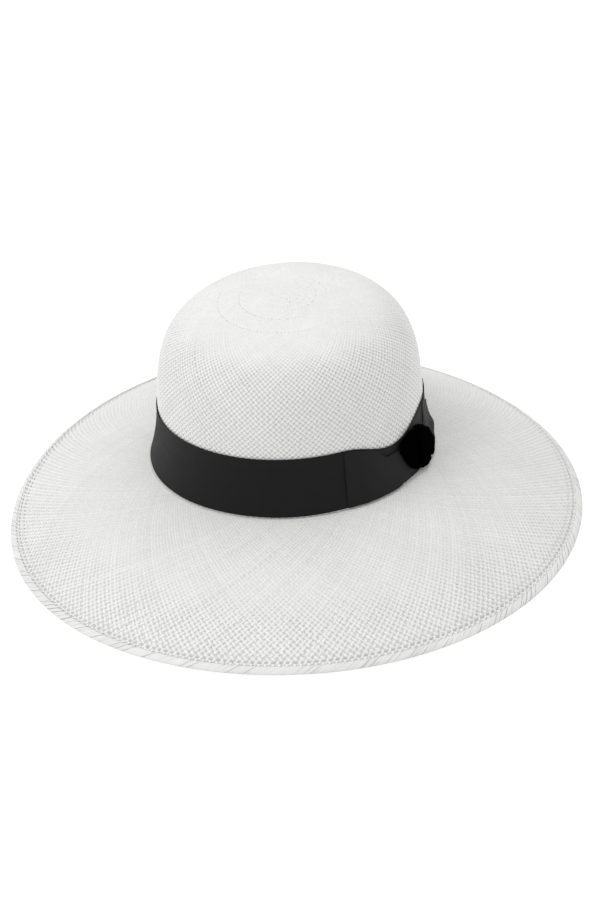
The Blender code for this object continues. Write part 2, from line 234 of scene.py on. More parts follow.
def weave(face, s0, s1, N, name, mat, fill=0.95, parts=1, lift=1.0,
          tone_mid=0.5, tone_var=0.07, wob=0.05, shade=1.0, crown_=1.0,
          over=0.0, front=0.0):
    """Plain weave of two crossing families of N strands between s0 and s1.
    Its cells are square all the way out, as the strands cross at 45
    degrees. fill, lift, tone_mid and shade may be lists of (s, value)."""
    f0, f1 = np.interp((s0 - over, s1 + over), face.s, face.phi)
    K = max(int(round(N * (f1 - f0) / pi)), 1)
    out = []
    kk = np.arange(0, K + 0.25, 0.5)
    ph = lambda k: np.interp(f0 + (f1 - f0) * k / K, face.phi, face.s)

    def along(q):
        return np.interp(ph(kk), *zip(*q)) if isinstance(q, list) \
            else np.full(len(kk), float(q))
    fill, lift, tone_mid, shade = (along(q) for q in (fill, lift, tone_mid,
                                                      shade))
    pitch = face.r_at(ph(kk)) * TAU / N / np.sqrt(2.0)
    tau = np.minimum(0.14 * pitch, 0.27) * crown_
    amp = np.minimum(0.17 * pitch, 0.34) * lift
    for fam, sg in (("a", 1.0), ("b", -1.0)):
        i = np.arange(N)
        jit = RNG.normal(0, wob, N)
        slow = RNG.normal(0, wob * 0.8, (N, 3))
        w = np.arange(len(kk)) / max(len(kk) - 1, 1)
        wander = (jit[:, None] + slow[:, :1] * np.sin(TAU * w * 1.5)
                  + slow[:, 1:2] * np.cos(TAU * w * 2.7)
                  + slow[:, 2:] * np.sin(TAU * w * 4.1))
        t = (TAU * i / N)[:, None] + (sg * pi * kk / N)[None, :] \
            + wander * pi / N
        e = (fill / 2.0)[None, :] * (1.0 + np.clip(
            RNG.normal(0, 0.045, N), -.12, .1))[:, None]
        k2 = np.broadcast_to(kk, t.shape)
        # front makes the relief and the painted edge shade stronger at the
        # front of the hat and weaker at the back; the painted part stands in
        # for how the light falls
        bold = 1.0 - front * np.sin(t)
        c = sg * np.cos(pi * k2) * amp * bold \
            * (1.0 + RNG.normal(0, 0.12, N))[:, None]
        sL, sC, sR = ph(np.clip(k2 + e, -0.4, K + 0.4)), ph(k2), \
            ph(np.clip(k2 - e, -0.4, K + 0.4))
        L = face.at(t - sg * e * pi / N, sL, c - tau)
        C = face.at(t, sC, c + tau)
        R = face.at(t + sg * e * pi / N, sR, c - tau)
        rails = np.stack([L, C, R], axis=2)
        if sg > 0:
            rails = rails[:, :, ::-1]
        # painted shade: a strand is darker along its edges and where it dips
        # under, and lighter along its ridge and where it rides over
        side = np.array([-0.42, 0.12, -0.42]) * (shade * bold)[:, :, None]
        dip = 0.16 * shade * (c / np.maximum(amp, 1e-6))
        tone = np.clip(tone_mid[None, :, None]
                       + RNG.normal(0, tone_var, N)[:, None, None]
                       + side + dip[:, :, None], 0, 1)
        run = np.concatenate([[0], np.cumsum(0.5 * pitch[1:])])
        fib = np.zeros(rails.shape)
        fib[..., 0] = run[None, :, None] + (37.0 * i)[:, None, None]
        fib[..., 1] = np.array([-0.5, 0.0, 0.5])[None, None, :] \
            * (pitch * fill)[None, :, None] + (13.0 * i)[:, None, None]
        fib[..., 2] = sg * 5.0
        cuts = np.array_split(np.arange(N), max(parts // 2, 1)) \
            if parts > 1 else [np.arange(N)]
        for c_i, sel in enumerate(cuts):
            out.append((fam + str(c_i + 1),) + slivers(
                rails[sel], tone[sel], fib[sel]))
    if parts == 1:
        return [join_mesh(name, out, mat)]
    return [finish_straw(make_mesh(f"{name}_{tag}", v, f, mat, fld, sharp=75))
            for tag, v, f, fld in out]


def join_mesh(name, chunks, mat, sharp=75, body="hat", straw=True):
    verts, faces, tones, fibs, off = [], [], [], [], 0
    for _, v, f, fld in chunks:
        verts.append(v)
        faces += [[x + off for x in q] for q in f] if off else f
        tones.append(fld["tone"])
        fibs.append(fld["fib"])
        off += len(v)
    ob = make_mesh(name, np.concatenate(verts), faces, mat,
                   {"tone": np.concatenate(tones), "fib": np.concatenate(fibs)},
                   sharp=sharp, body=body)
    return finish_straw(ob) if straw else ob


def finish_straw(ob):
    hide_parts("straw_body")
    return ob


def twine(face, s_c, turns, amp=0.42, wid=0.95, high=0.34, up=0.0, per=8,
          tone_mid=0.55, ply=2, edge=0.3):
    """Row of two strands twisted round each other, which closes each band of
    weave where the number of strands changes."""
    chunks = []
    m = turns * per
    t = TAU * np.arange(m) / m
    r = float(face.r_at(s_c))
    for p in range(ply):
        psi = turns * t + TAU * p / ply
        s = s_c + amp * np.sin(psi)
        h = up + high * np.cos(psi)
        dr, ds = r, amp * turns * np.cos(psi)
        ln = np.hypot(dr, ds)
        ut, us = -ds / ln, dr / ln
        hw, th = wid / 2.0, wid * 0.24
        rails = np.stack([
            face.at(t - ut * hw / r, s - us * hw, h),
            face.at(t, s, h + th),
            face.at(t + ut * hw / r, s + us * hw, h),
            face.at(t, s, h - th)], axis=1)[None]
        fib = np.zeros(rails.shape)
        fib[0, :, :, 0] = (t * r)[:, None]
        fib[0, :, :, 1] = np.array([-.5, 0, .5, 1.0]) * wid
        fib[..., 2] = 9.0 + p
        # painted shade: the twined strand is darkened along its sides and
        # underneath and made a little lighter on top
        tone = tone_mid + np.broadcast_to(
            np.array([-1.0, 0.33, -1.0, -1.0]) * edge, rails.shape[:3])
        chunks.append(("r",) + slivers(rails, tone, fib, closed=True))
    return chunks


def thick_sheet(name, grid, th, mat, wrap=False, along=None, across=None,
                body="hat", sharp=60, replaces=(), tone=0.5):
    """Closed sheet of thickness th whose middle is grid (n along, m across)."""
    g = np.asarray(grid, float)
    n, m, _ = g.shape
    if wrap:
        du = np.roll(g, -1, axis=0) - np.roll(g, 1, axis=0)
    else:
        du = np.gradient(g, axis=0)
    dv = np.gradient(g, axis=1)
    nr = np.cross(du, dv)
    nr /= np.maximum(np.linalg.norm(nr, axis=-1, keepdims=True), 1e-12)
    A, B = g + nr * th / 2.0, g - nr * th / 2.0
    verts = np.concatenate([A.reshape(-1, 3), B.reshape(-1, 3)])
    ia = np.arange(n * m).reshape(n, m)
    ib = ia + n * m
    faces = []
    last = n if wrap else n - 1
    for i in range(last):
        i2 = (i + 1) % n
        for j in range(m - 1):
            faces.append((ia[i, j], ia[i2, j], ia[i2, j + 1], ia[i, j + 1]))
            faces.append((ib[i, j + 1], ib[i2, j + 1], ib[i2, j], ib[i, j]))
        faces.append((ia[i2, 0], ia[i, 0], ib[i, 0], ib[i2, 0]))
        faces.append((ia[i, m - 1], ia[i2, m - 1], ib[i2, m - 1],
                      ib[i, m - 1]))
    if not wrap:
        for j in range(m - 1):
            faces.append((ia[0, j], ia[0, j + 1], ib[0, j + 1], ib[0, j]))
            faces.append((ia[n - 1, j + 1], ia[n - 1, j], ib[n - 1, j],
                          ib[n - 1, j + 1]))
    faces = [tuple(int(x) for x in f) for f in faces]
    if along is None:
        step = np.linalg.norm(np.diff(g[:, m // 2], axis=0), axis=-1)
        along = np.concatenate([[0], np.cumsum(step)])
    if across is None:
        step = np.linalg.norm(np.diff(g[n // 2], axis=0), axis=-1)
        across = np.concatenate([[0], np.cumsum(step)])
    al = np.broadcast_to(np.asarray(along)[:, None], (n, m))
    ac = np.broadcast_to(np.asarray(across)[None, :], (n, m))
    fib = np.stack([al, ac, np.zeros((n, m))], axis=-1).reshape(-1, 3)
    fib = np.concatenate([fib, fib + np.array([0, 0, 3.0])])
    ob = make_mesh(name, verts, faces, mat, {
        "fib": fib, "tone": np.full(len(verts), tone)}, sharp=sharp, body=body)
    if replaces:
        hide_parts(*replaces)
    return ob


def area_mm2(grid, wrap=False):
    g = np.asarray(grid, float)
    if wrap:
        g = np.concatenate([g, g[:1]])
    a = g[1:, :-1] - g[:-1, :-1]
    b = g[:-1, 1:] - g[:-1, :-1]
    c, d = g[:-1, 1:] - g[1:, 1:], g[1:, :-1] - g[1:, 1:]
    return float((np.linalg.norm(np.cross(a, b), axis=-1)
                  + np.linalg.norm(np.cross(c, d), axis=-1)).sum() / 2.0)


def rods(name, starts, ends, normals, r, mat, arch=0.25, body="hat",
         tone=0.5, sides=6, steps=6):
    """Stitches: short round threads that rise out of the cloth and dive back
    into it."""
    S, E, Nn = (np.asarray(x, float) for x in (starts, ends, normals))
    f = np.linspace(0, 1, steps + 1)
    lift = arch * np.sin(pi * f) - r * 0.3
    C = S[:, None] * (1 - f)[None, :, None] + E[:, None] * f[None, :, None] \
        + Nn[:, None] * lift[None, :, None]
    d = E - S
    d /= np.linalg.norm(d, axis=-1, keepdims=True)
    side = np.cross(d, Nn)
    w = TAU * np.arange(sides) / sides
    rr = r * (0.55 + 0.45 * np.sin(pi * np.clip(f, 0.0, 1.0)) ** 0.5)
    rails = C[:, :, None] + rr[None, :, None, None] * (
        side[:, None, None] * np.cos(w)[None, None, :, None]
        + Nn[:, None, None] * np.sin(w)[None, None, :, None])
    n = len(S)
    fib = np.zeros(rails.shape)
    fib[..., 0] = f[None, :, None] * 3.0
    fib[..., 1] = w[None, None, :] * r
    v, q, fld = slivers(rails, np.full(n, tone), fib)
    ob = make_mesh(name, v, q, mat, fld, sharp=80, body=body)
    return ob


# ----------------------------------------------------------------- materials
def new_mat(name):
    mat = bpy.data.materials.new(name)
    mat.use_nodes = True
    nt = mat.node_tree
    return mat, nt, nt.nodes["Principled BSDF"]


def node(nt, kind, **sets):
    n = nt.nodes.new(kind)
    for k, v in sets.items():
        if k.startswith("in_"):
            key = k[3:]
            n.inputs[int(key) if key.isdigit() else key.replace("_", " ")
                     ].default_value = v
        else:
            setattr(n, k, v)
    return n


def scaled(nt, source, scale):
    m = node(nt, "ShaderNodeMapping", vector_type="POINT")
    m.inputs["Scale"].default_value = scale
    nt.links.new(source, m.inputs["Vector"])
    return m.outputs["Vector"]


def ramp(nt, source, stops):
    r = node(nt, "ShaderNodeValToRGB")
    el = r.color_ramp.elements
    while len(el) < len(stops):
        el.new(0.5)
    for e, (p, c) in zip(el, stops):
        e.position, e.color = p, (*c, 1.0)
    nt.links.new(source, r.inputs["Fac"])
    return r.outputs["Color"]


def mult(nt, a, b):
    m = node(nt, "ShaderNodeMix", data_type="RGBA", blend_type="MULTIPLY")
    m.inputs[0].default_value = 1.0
    nt.links.new(a, m.inputs[6])
    nt.links.new(b, m.inputs[7])
    return m.outputs[2]


def straw_mat(name, light, dark, rough=0.5, bump=0.35):
    mat, nt, bs = new_mat(name)
    tone = node(nt, "ShaderNodeAttribute", attribute_name="tone")
    fib = node(nt, "ShaderNodeAttribute", attribute_name="fib")
    co = node(nt, "ShaderNodeTexCoord")
    # the tone attribute, dark to light, carries the weave's painted shade along
    # with the strands' own differences in colour
    base = ramp(nt, tone.outputs["Fac"], [(0.0, dark), (0.5, [
        (a + 2 * b) / 3 for a, b in zip(dark, light)]), (1.0, light)])
    # streaks along each strand
    streak = node(nt, "ShaderNodeTexNoise", in_Scale=1.0, in_Detail=3.0)
    nt.links.new(scaled(nt, fib.outputs["Vector"], (0.22, 4.5, 1.0)),
                 streak.inputs["Vector"])
    streaks = ramp(nt, streak.outputs["Fac"], [(0.25, (0.86,) * 3),
                                               (0.55, (1.0,) * 3)])
    # slow clouding over the hat
    cloud = node(nt, "ShaderNodeTexNoise", in_Scale=26.0, in_Detail=3.0)
    nt.links.new(co.outputs["Object"], cloud.inputs["Vector"])
    clouds = ramp(nt, cloud.outputs["Fac"], [(0.3, (0.96, 0.959, 0.955)),
                                             (0.65, (1.0,) * 3)])
    col = mult(nt, mult(nt, base, streaks), clouds)
    nt.links.new(col, bs.inputs["Base Color"])
    rg = node(nt, "ShaderNodeMapRange", in_1=0.2, in_2=0.8,
              in_3=rough - 0.08, in_4=rough + 0.12)
    nt.links.new(streak.outputs["Fac"], rg.inputs[0])
    nt.links.new(rg.outputs[0], bs.inputs["Roughness"])
    bp = node(nt, "ShaderNodeBump", in_Strength=bump, in_Distance=0.00012)
    nt.links.new(streak.outputs["Fac"], bp.inputs["Height"])
    nt.links.new(bp.outputs["Normal"], bs.inputs["Normal"])
    bs.inputs["Specular IOR Level"].default_value = 0.4
    return mat


def grosgrain_mat(name, colour, groove, rough=0.6, rib=0.62, sheen=0.35,
                  bump=0.5, sheen_rough=0.45, spec=0.35):
    """Ribbon with fine ribs across its width and a soft sheen."""
    mat, nt, bs = new_mat(name)
    fib = node(nt, "ShaderNodeAttribute", attribute_name="fib")
    co = node(nt, "ShaderNodeTexCoord")
    wav = node(nt, "ShaderNodeTexWave", wave_type="BANDS",
               bands_direction="X", wave_profile="SIN",
               in_Scale=TAU / (20.0 * rib), in_Distortion=0.0)
    nt.links.new(fib.outputs["Vector"], wav.inputs["Vector"])
    yarn = node(nt, "ShaderNodeTexNoise", in_Scale=1.0, in_Detail=2.0)
    nt.links.new(scaled(nt, fib.outputs["Vector"], (1.6, 5.5, 1.0)),
                 yarn.inputs["Vector"])
    dust = node(nt, "ShaderNodeTexNoise", in_Scale=90.0, in_Detail=4.0)
    nt.links.new(co.outputs["Object"], dust.inputs["Vector"])
    ribs = ramp(nt, wav.outputs["Fac"], [(0.0, groove), (0.6, colour)])
    dusts = ramp(nt, dust.outputs["Fac"], [(0.35, (0.85,) * 3),
                                           (0.7, (1.12,) * 3)])
    yarns = ramp(nt, yarn.outputs["Fac"], [(0.3, (0.8,) * 3),
                                           (0.7, (1.1,) * 3)])
    nt.links.new(mult(nt, mult(nt, ribs, dusts), yarns),
                 bs.inputs["Base Color"])
    add = node(nt, "ShaderNodeMath", operation="MULTIPLY_ADD")
    add.inputs[1].default_value = 0.35
    nt.links.new(yarn.outputs["Fac"], add.inputs[0])
    nt.links.new(wav.outputs["Fac"], add.inputs[2])
    bp = node(nt, "ShaderNodeBump", in_Strength=bump, in_Distance=0.0002)
    nt.links.new(add.outputs[0], bp.inputs["Height"])
    nt.links.new(bp.outputs["Normal"], bs.inputs["Normal"])
    rg = node(nt, "ShaderNodeMapRange", in_1=0.2, in_2=0.8,
              in_3=rough - 0.06, in_4=rough + 0.08)
    nt.links.new(dust.outputs["Fac"], rg.inputs[0])
    nt.links.new(rg.outputs[0], bs.inputs["Roughness"])
    bs.inputs["Specular IOR Level"].default_value = spec
    bs.inputs["Sheen Weight"].default_value = sheen
    bs.inputs["Sheen Roughness"].default_value = sheen_rough
    return mat


def leather_mat(name, light, dark):
    mat, nt, bs = new_mat(name)
    co = node(nt, "ShaderNodeTexCoord")
    big = node(nt, "ShaderNodeTexNoise", in_Scale=55.0, in_Detail=4.0)
    grain = node(nt, "ShaderNodeTexVoronoi", feature="DISTANCE_TO_EDGE",
                 in_Scale=1150.0)
    pores = node(nt, "ShaderNodeTexNoise", in_Scale=2600.0, in_Detail=3.0)
    for n in (big, grain, pores):
        nt.links.new(co.outputs["Object"], n.inputs["Vector"])
    base = ramp(nt, big.outputs["Fac"], [(0.3, dark), (0.7, light)])
    cracks = ramp(nt, grain.outputs["Distance"], [(0.0, (0.8, 0.78, 0.76)),
                                                  (0.12, (1.0,) * 3)])
    nt.links.new(mult(nt, base, cracks), bs.inputs["Base Color"])
    mr = node(nt, "ShaderNodeMapRange", in_1=0.0, in_2=0.25, in_3=0.0,
              in_4=1.0)
    nt.links.new(grain.outputs["Distance"], mr.inputs[0])
    add = node(nt, "ShaderNodeMath", operation="MULTIPLY_ADD")
    add.inputs[1].default_value = 0.5
    nt.links.new(pores.outputs["Fac"], add.inputs[0])
    nt.links.new(mr.outputs[0], add.inputs[2])
    bp = node(nt, "ShaderNodeBump", in_Strength=0.35, in_Distance=0.00012)
    nt.links.new(add.outputs[0], bp.inputs["Height"])
    nt.links.new(bp.outputs["Normal"], bs.inputs["Normal"])
    rg = node(nt, "ShaderNodeMapRange", in_1=0.3, in_2=0.7, in_3=0.42,
              in_4=0.56)
    nt.links.new(big.outputs["Fac"], rg.inputs[0])
    nt.links.new(rg.outputs[0], bs.inputs["Roughness"])
    return mat


def cloth_mat(name, light, dark, rough=0.8, pitch=0.45, sheen=0.2, bump=0.4,
              spec=0.3):
    """Plain woven cloth: warp and weft threads in the sheet's own plane."""
    mat, nt, bs = new_mat(name)
    fib = node(nt, "ShaderNodeAttribute", attribute_name="fib")
    sc = TAU / (20.0 * pitch)
    wx = node(nt, "ShaderNodeTexWave", wave_type="BANDS", bands_direction="X",
              in_Scale=sc)
    wy = node(nt, "ShaderNodeTexWave", wave_type="BANDS", bands_direction="Y",
              in_Scale=sc)
    nz = node(nt, "ShaderNodeTexNoise", in_Scale=1.3, in_Detail=3.0)
    for n in (wx, wy, nz):
        nt.links.new(fib.outputs["Vector"], n.inputs["Vector"])
    mx = node(nt, "ShaderNodeMath", operation="MAXIMUM")
    nt.links.new(wx.outputs["Fac"], mx.inputs[0])
    nt.links.new(wy.outputs["Fac"], mx.inputs[1])
    base = ramp(nt, mx.outputs[0], [(0.35, dark), (0.9, light)])
    cl = ramp(nt, nz.outputs["Fac"], [(0.3, (0.92,) * 3), (0.7, (1.0,) * 3)])
    nt.links.new(mult(nt, base, cl), bs.inputs["Base Color"])
    bp = node(nt, "ShaderNodeBump", in_Strength=bump, in_Distance=0.00012)
    nt.links.new(mx.outputs[0], bp.inputs["Height"])
    nt.links.new(bp.outputs["Normal"], bs.inputs["Normal"])
    rg = node(nt, "ShaderNodeMapRange", in_1=0.2, in_2=0.8,
              in_3=rough - 0.06, in_4=rough + 0.06)
    nt.links.new(nz.outputs["Fac"], rg.inputs[0])
    nt.links.new(rg.outputs[0], bs.inputs["Roughness"])
    bs.inputs["Specular IOR Level"].default_value = spec
    bs.inputs["Sheen Weight"].default_value = sheen
    return mat


def thread_mat(name, colour, rough=0.6):
    mat, nt, bs = new_mat(name)
    fib = node(nt, "ShaderNodeAttribute", attribute_name="fib")
    ply = node(nt, "ShaderNodeTexWave", wave_type="BANDS",
               bands_direction="DIAGONAL", in_Scale=1.2)
    nt.links.new(fib.outputs["Vector"], ply.inputs["Vector"])
    nt.links.new(ramp(nt, ply.outputs["Fac"], [
        (0.2, [c * 0.75 for c in colour]), (0.8, colour)]),
        bs.inputs["Base Color"])
    bp = node(nt, "ShaderNodeBump", in_Strength=0.4, in_Distance=0.00008)
    nt.links.new(ply.outputs["Fac"], bp.inputs["Height"])
    nt.links.new(bp.outputs["Normal"], bs.inputs["Normal"])
    bs.inputs["Roughness"].default_value = rough
    return mat


STRAW = straw_mat("toquilla_straw", (0.835, 0.833, 0.826),
                  (0.46, 0.458, 0.449))
STRAW_RIM = straw_mat("toquilla_straw_rim", (0.835, 0.833, 0.826),
                      (0.46, 0.458, 0.449))
RIBBON = grosgrain_mat("charcoal_grosgrain", (0.0085, 0.0085, 0.0088),
                       (0.005, 0.005, 0.0052), rough=0.62, sheen=0.03,
                       spec=0.12)
# painted light: the bow is the band's ribbon, coloured a touch lighter than the
# band for the way it catches the light
BOW_RIBBON = grosgrain_mat("bow_grosgrain", (0.0088, 0.0088, 0.0091),
                           (0.0052, 0.0052, 0.0054), rough=0.6, sheen=0.035,
                           spec=0.13)
BLACK = grosgrain_mat("black_grosgrain", (0.0004, 0.0004, 0.0004),
                      (0.0002, 0.0002, 0.0002), rough=0.85, sheen=0.0,
                      bump=0.4, spec=0.002)
LEATHER = leather_mat("sweatband_leather", (0.74, 0.69, 0.60),
                      (0.64, 0.59, 0.50))
CORD = thread_mat("reed_cord", (0.74, 0.72, 0.67), 0.5)
TAPE = cloth_mat("reed_tape", (0.76, 0.73, 0.66), (0.60, 0.57, 0.50))
SEAM = cloth_mat("seam_tape", (0.76, 0.73, 0.66), (0.60, 0.57, 0.50))
SATIN = cloth_mat("satin_bow", (0.014, 0.014, 0.015), (0.008, 0.008, 0.008),
                  rough=0.34, pitch=0.3, sheen=0.1, bump=0.12, spec=0.5)
LABEL = cloth_mat("label_cloth", (0.82, 0.81, 0.78), (0.68, 0.67, 0.63),
                  rough=0.7, pitch=0.35)
CARE = cloth_mat("care_cloth", (0.86, 0.86, 0.84), (0.74, 0.74, 0.72),
                 rough=0.75, pitch=0.3, sheen=0.1)
THREAD = thread_mat("sewing_thread", (0.70, 0.66, 0.57))
THREAD_DARK = thread_mat("dark_thread", (0.02, 0.02, 0.021))


# -------------------------------------------------------------------- straw
def make_straw():
    # crown: from a small start at the apex the strands double up again and
    # again, each increase closed by a twined row
    # painted light and shade in the straw: tone_mid is set higher on the
    # crown's top than on its side and on the brim, and shade ramps the painted
    # edge shade up down the crown's side and out on the brim
    steps = [2.6, 4.0, 6.0, 9.0, 13.5, 20.0, 30.0, 45.0]
    counts = [10, 16, 24, 36, 52, 74, 106]
    tops = []
    for r0, r1, n in zip(steps, steps[1:], counts):
        tops.append(weave(CROWN, CROWN.s_at_r(r0), CROWN.s_at_r(r1), n,
                          "t", STRAW, parts=1, fill=0.95, lift=0.75,
                          tone_mid=0.61, wob=0.03, shade=0.35,
                          tone_var=0.04, over=min(1.4, 0.12 * r0))[0])
    merge(tops, "crown_top_weave")

    s_top = CROWN.s_at_r(steps[-1])
    s_ring = CROWN.s_at_par(1.0) - 68.0       # crown's shoulder
    s_edge = CROWN.s_at_par(1.0 + 0.118)      # 28 mm above the break
    s_low = CROWN.s_at_par(1.0 + 0.398)
    weave(CROWN, s_top, s_edge, 148, "crown_side_weave", STRAW, parts=4,
          fill=[(s_top, 0.96), (s_ring, 0.95), (s_ring + 15, 0.93)],
          lift=[(s_top, 0.5), (s_ring - 6, 0.6), (s_ring + 12, 1.15)],
          tone_mid=[(s_top, 0.59), (s_ring - 6, 0.58), (s_ring + 12, 0.55)],
          shade=[(s_top, 0.3), (s_ring - 6, 0.45), (s_ring + 12, 1.4)],
          tone_var=0.03, over=1.2, front=0.22)
    # behind the ribbon, where nothing shows
    weave(CROWN, s_edge, s_low, 148, "crown_base_weave", STRAW, parts=1,
          fill=0.96)

    rows = []
    for r, n in zip(steps, (8, 10, 14, 22, 32, 48, 72, 108)):
        rows += twine(CROWN, CROWN.s_at_r(r), n, amp=0.30, wid=0.75,
                      high=0.10, up=0.02, tone_mid=0.58, edge=0.06)
    rows += twine(CROWN, s_edge, 144, amp=0.34, wid=0.9, high=0.3)
    join_mesh("crown_twined_rows", rows, STRAW, sharp=80)
    apex_button()

    # brim: the same strands run out from the break to the rim
    s_in, s_out = BRIM.s_at_par(-0.01), BRIM.s_at_par(0.953)
    q = BRIM.s_at_par
    weave(BRIM, s_in, s_out, 276, "brim_weave", STRAW, parts=6,
          fill=[(q(0.0), 0.96), (q(0.5), 0.955), (q(0.72), 0.935)],
          lift=[(q(0.0), 0.55), (q(0.52), 0.38), (q(0.75), 0.80)],
          tone_mid=[(q(0.0), 0.46), (q(0.5), 0.46), (q(0.75), 0.52)],
          shade=[(q(0.0), 0.42), (q(0.52), 0.30), (q(0.75), 0.98)],
          tone_var=0.03, wob=0.10, over=0.3, front=0.44)
    # painted shade: the twined rows at the break, under the ribbon's lower
    # edge, and at the rim's groove are toned darker than the weave, darkest in
    # the groove
    rows = twine(BRIM, BRIM.s_at_par(0.007), 210, amp=0.45, wid=1.1,
                 high=0.3, up=0.02, tone_mid=0.42, edge=0.2)
    rows += twine(BRIM, BRIM.s_at_par(-0.006), 210, amp=0.45, wid=1.2,
                  high=0.2, up=0.1, tone_mid=0.3, edge=0.1)
    rows += twine(BRIM, BRIM.s_at_par(0.905), 240, amp=0.4, wid=0.85,
                  high=0.22, up=0.05, tone_mid=0.34, edge=0.2)
    rows += twine(BRIM, BRIM.s_at_par(0.936), 240, amp=0.4, wid=0.9,
                  high=0.2, up=0.14, tone_mid=0.12, edge=0.1)
    join_mesh("brim_twined_rows", rows, STRAW, sharp=80)
    rim_edge()


def merge(obs, name):
    """Several meshes of one sort as one piece."""
    verts, faces, tones, fibs, off = [], [], [], [], 0
    for ob in obs:
        me = ob.data
        n = len(me.vertices)
        v = np.empty(n * 3)
        me.vertices.foreach_get("co", v)
        verts.append(v.reshape(-1, 3) / MM)
        faces += [[x + off for x in p.vertices] for p in me.polygons]
        t = np.empty(n, dtype=np.float32)
        me.attributes["tone"].data.foreach_get("value", t)
        f = np.empty(n * 3, dtype=np.float32)
        me.attributes["fib"].data.foreach_get("vector", f)
        tones.append(t)
        fibs.append(f.reshape(-1, 3))
        off += n
        bpy.data.objects.remove(ob, do_unlink=True)
        bpy.data.meshes.remove(me)
    return finish_straw(make_mesh(
        name, np.concatenate(verts), faces, STRAW,
        {"tone": np.concatenate(tones), "fib": np.concatenate(fibs)},
        sharp=75))


def apex_button():
    """Small knotted start of the weave at the apex."""
    n, rings = 32, [(0.0, 0.35), (0.7, 0.33), (1.4, 0.22), (2.1, 0.02),
                    (2.6, -0.3)]
    t = TAU * np.arange(n) / n
    verts = [CROWN.at(np.array([0.0]), np.array([0.05]), np.array([0.38]))[0]]
    for r, h in rings[1:]:
        s = CROWN.s_at_r(r)
        ridge = 0.09 * np.cos(8 * t + r * 1.4)
        verts += list(CROWN.at(t, np.full(n, s), h + ridge))
    for r, h in reversed(rings[1:]):
        verts += list(CROWN.at(t, np.full(n, CROWN.s_at_r(r)),
                               np.full(n, -0.35 - 0.1 * (2.6 - r) / 2.6)))
    verts.append(CROWN.at(np.array([0.0]), np.array([0.05]),
                          np.array([-0.5]))[0])
    faces, m = [], len(rings) - 1
    row = lambda i: [1 + i * n + j for j in range(n)]
    for j in range(n):
        faces.append((0, row(0)[j], row(0)[(j + 1) % n]))
    for i in range(2 * m - 1):
        a, b = row(i), row(i + 1)
        for j in range(n):
            faces.append((a[j], b[j], b[(j + 1) % n], a[(j + 1) % n]))
    last = len(verts) - 1
    for j in range(n):
        faces.append((last, row(2 * m - 1)[(j + 1) % n], row(2 * m - 1)[j]))
    v = np.array(verts)
    fib = v.copy()
    finish_straw(make_mesh("crown_apex_start", v, faces, STRAW, {
        "tone": np.full(len(v), 0.6), "fib": fib}, sharp=80))


def lip_at(t, w, d=0.0):
    """The rim's rounded edge: w runs 0 at the groove on top, over the edge
    and back underneath to 1."""
    ang = radians(196.0) - radians(392.0) * w
    A, B = 2.72 + d, 0.82 + d
    cx, sx = np.cos(ang), np.sin(ang)
    ca, sa = np.cos(radians(-36.0)), np.sin(radians(-36.0))
    dx = -2.55 + A * cx * ca - B * sx * sa
    dz = 2.12 + A * cx * sa + B * sx * ca
    return xyz((RIM_A + dx) * np.cos(t), (RIM_B + dx) * np.sin(t),
               np.maximum(dz, 0.02) + rim_lift(t))


def rim_edge():
    """Back-woven rim: the strands turn over the edge in slanting pairs and
    are tucked in underneath, over a core of gathered ends."""
    n = 720
    i = np.arange(n)
    f = np.linspace(0.0, 1.0, 21)
    third = i % 3
    pitch = TAU / n
    t0 = i * pitch + RNG.normal(0, pitch * 0.06, n)
    slant = -14.0 * pitch
    # every third strand starts further in, across the groove
    w0 = np.where(third == 0, -0.03, np.where(third == 1, 0.0, -0.015))
    w = w0[:, None] + (0.99 - w0)[:, None] * f[None, :]
    t = t0[:, None] + slant * f[None, :] * (1.0 + RNG.normal(0, .04, n)
                                            )[:, None]
    hw = pitch * 0.62
    rise = np.array([0.02, 0.01, 0.0])[third]
    h = rise[:, None] + 0.04 * np.sin(pi * f)[None, :]
    th = 0.11
    rails = np.stack([lip_at(t + hw, w, h - th),
                      lip_at(t, w, h + th),
                      lip_at(t - hw, w, h - th)], axis=2)
    # painted shade: each lip strand is darkened along its edges and strongly
    # where it starts in the groove
    tone = np.clip(0.57 + RNG.normal(0, 0.05, n)[:, None, None]
                   + np.array([-0.26, 0.06, -0.26])[None, None, :]
                   - 0.60 * np.exp(-(f / 0.055) ** 2)[None, :, None], 0, 1)
    fib = np.zeros(rails.shape)
    fib[..., 0] = f[None, :, None] * 14.0 + (19.0 * i)[:, None, None]
    fib[..., 1] = np.array([-.9, 0, .9])[None, None, :] \
        + (7.0 * i)[:, None, None]
    v, q, fld = slivers(rails, np.broadcast_to(tone, rails.shape[:3]), fib)
    finish_straw(make_mesh("rim_back_weave", v, q, STRAW_RIM, fld, sharp=75))
    m = 720
    tt = TAU * np.arange(m) / m
    ws = np.linspace(0, 1, 15)[:-1] * 0.9 + 0.03
    rails = lip_at(tt[:, None], ws[None, :], -0.22)[None]
    fib = np.zeros(rails.shape)
    fib[0, :, :, 0] = (tt * 200.0)[:, None]
    fib[0, :, :, 1] = ws[None, :] * 14.0
    # painted shade: the core is toned about as dark as the strands' shaded
    # edges, for the shade seen between the lip strands
    v, q, fld = slivers(rails, np.array([0.1]), fib, closed=True)
    finish_straw(make_mesh("rim_core", v, q, STRAW_RIM, fld, sharp=75))


